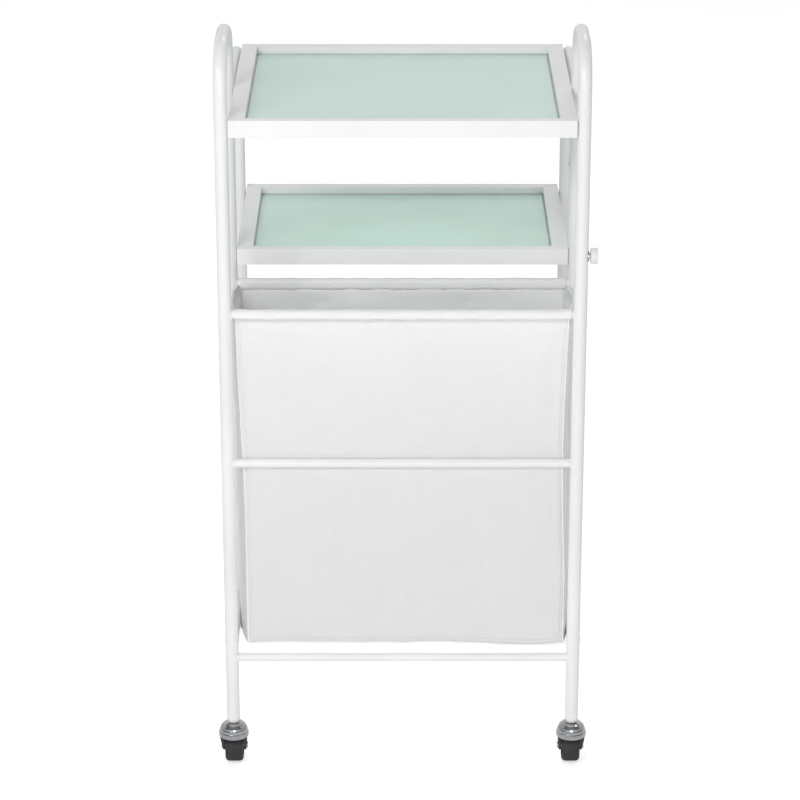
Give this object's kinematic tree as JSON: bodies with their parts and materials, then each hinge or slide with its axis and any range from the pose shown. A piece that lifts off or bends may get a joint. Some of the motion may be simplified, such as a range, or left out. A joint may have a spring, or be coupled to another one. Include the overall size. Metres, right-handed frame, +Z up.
{
  "type": "rolling salon trolley",
  "caption": "Tall tube-framed rolling trolley with glass-bottomed trays over an open hanging fabric bag, on swivel casters.",
  "frame": {"origin": "on the floor, under the middle of the trolley's overall box", "axes": "+X to the user's right, +Y from the front (bag) side to the back, +Z up"},
  "size_m": [0.4534, 0.4264, 0.915],
  "materials": {
    "white_powder_coat": "smooth satin white powder coat",
    "frosted_glass": "back-frosted mint green float glass",
    "clear_silicone": "clear soft silicone",
    "zinc_steel": "bright zinc plate",
    "white_plastic": "moulded white nylon",
    "chrome": "polished chrome plate",
    "dark_steel": "black-coated pressed steel",
    "black_plastic": "moulded black polypropylene",
    "black_rubber": "black thermoplastic rubber",
    "bag_fabric": "woven off-white polyester"
  },
  "bodies": {
    "frame": {"left_front_hoop": "white_powder_coat", "left_rear_leg": "white_powder_coat", "left_bottom_rail": "white_powder_coat", "right_front_hoop": "white_powder_coat", "right_rear_leg": "white_powder_coat", "right_bottom_rail": "white_powder_coat", "bag_front_rod": "white_powder_coat", "middle_front_rod": "white_powder_coat", "lower_front_rod": "white_powder_coat", "bag_rear_rod": "white_powder_coat", "lower_rear_rod": "white_powder_coat", "top_tray_frame": "white_powder_coat", "top_tray_glass": "frosted_glass", "top_tray_pads": "clear_silicone", "lower_tray_frame": "white_powder_coat", "lower_tray_glass": "frosted_glass", "lower_tray_pads": "clear_silicone", "tray_screws": "zinc_steel", "tray_spacers": "white_plastic", "front_knob_insert": "zinc_steel", "rear_knob_insert": "zinc_steel", "front_left_leg_plug": "white_plastic", "front_left_stem": "zinc_steel", "front_right_leg_plug": "white_plastic", "front_right_stem": "zinc_steel", "rear_left_leg_plug": "white_plastic", "rear_left_stem": "zinc_steel", "rear_right_leg_plug": "white_plastic", "rear_right_stem": "zinc_steel", "fabric_bag": "bag_fabric"},
    "front_left_caster": {"front_left_bell": "chrome", "front_left_fork": "dark_steel", "front_left_axle": "zinc_steel"},
    "front_left_wheel": {"front_left_wheel_hub": "black_plastic", "front_left_wheel_tyre": "black_rubber"},
    "front_right_caster": {"front_right_bell": "chrome", "front_right_fork": "dark_steel", "front_right_axle": "zinc_steel"},
    "front_right_wheel": {"front_right_wheel_hub": "black_plastic", "front_right_wheel_tyre": "black_rubber"},
    "rear_left_caster": {"rear_left_bell": "chrome", "rear_left_fork": "dark_steel", "rear_left_axle": "zinc_steel"},
    "rear_left_wheel": {"rear_left_wheel_hub": "black_plastic", "rear_left_wheel_tyre": "black_rubber"},
    "rear_right_caster": {"rear_right_bell": "chrome", "rear_right_fork": "dark_steel", "rear_right_axle": "zinc_steel"},
    "rear_right_wheel": {"rear_right_wheel_hub": "black_plastic", "rear_right_wheel_tyre": "black_rubber"},
    "front_screw": {"front_thumb_screw": "white_plastic"},
    "rear_screw": {"rear_thumb_screw": "white_plastic"}
  },
  "joints": [
    {"name": "front_left_swivel", "type": "hinge", "parent": "frame", "child": "front_left_caster", "pos_m": [-0.208, -0.19475, 0.047], "axis": [0, 0, 1], "continuous": true},
    {"name": "front_left_roll", "type": "hinge", "parent": "front_left_caster", "child": "front_left_wheel", "pos_m": [-0.208, -0.18275, 0.02], "axis": [1, 0, 0], "continuous": true},
    {"name": "front_right_swivel", "type": "hinge", "parent": "frame", "child": "front_right_caster", "pos_m": [0.208, -0.19475, 0.047], "axis": [0, 0, 1], "continuous": true},
    {"name": "front_right_roll", "type": "hinge", "parent": "front_right_caster", "child": "front_right_wheel", "pos_m": [0.208, -0.18275, 0.02], "axis": [1, 0, 0], "continuous": true},
    {"name": "rear_left_swivel", "type": "hinge", "parent": "frame", "child": "rear_left_caster", "pos_m": [-0.208, 0.18125, 0.047], "axis": [0, 0, 1], "continuous": true},
    {"name": "rear_left_roll", "type": "hinge", "parent": "rear_left_caster", "child": "rear_left_wheel", "pos_m": [-0.208, 0.19325, 0.02], "axis": [1, 0, 0], "continuous": true},
    {"name": "rear_right_swivel", "type": "hinge", "parent": "frame", "child": "rear_right_caster", "pos_m": [0.208, 0.18125, 0.047], "axis": [0, 0, 1], "continuous": true},
    {"name": "rear_right_roll", "type": "hinge", "parent": "rear_right_caster", "child": "rear_right_wheel", "pos_m": [0.208, 0.19325, 0.02], "axis": [1, 0, 0], "continuous": true},
    {"name": "front_screw_turn", "type": "hinge", "parent": "frame", "child": "front_screw", "pos_m": [0.218, -0.19475, 0.6625], "axis": [1, 0, 0], "range_deg": [-1080, 720]},
    {"name": "rear_screw_turn", "type": "hinge", "parent": "frame", "child": "rear_screw", "pos_m": [0.218, 0.18125, 0.6625], "axis": [1, 0, 0], "range_deg": [-1080, 720]}
  ]
}
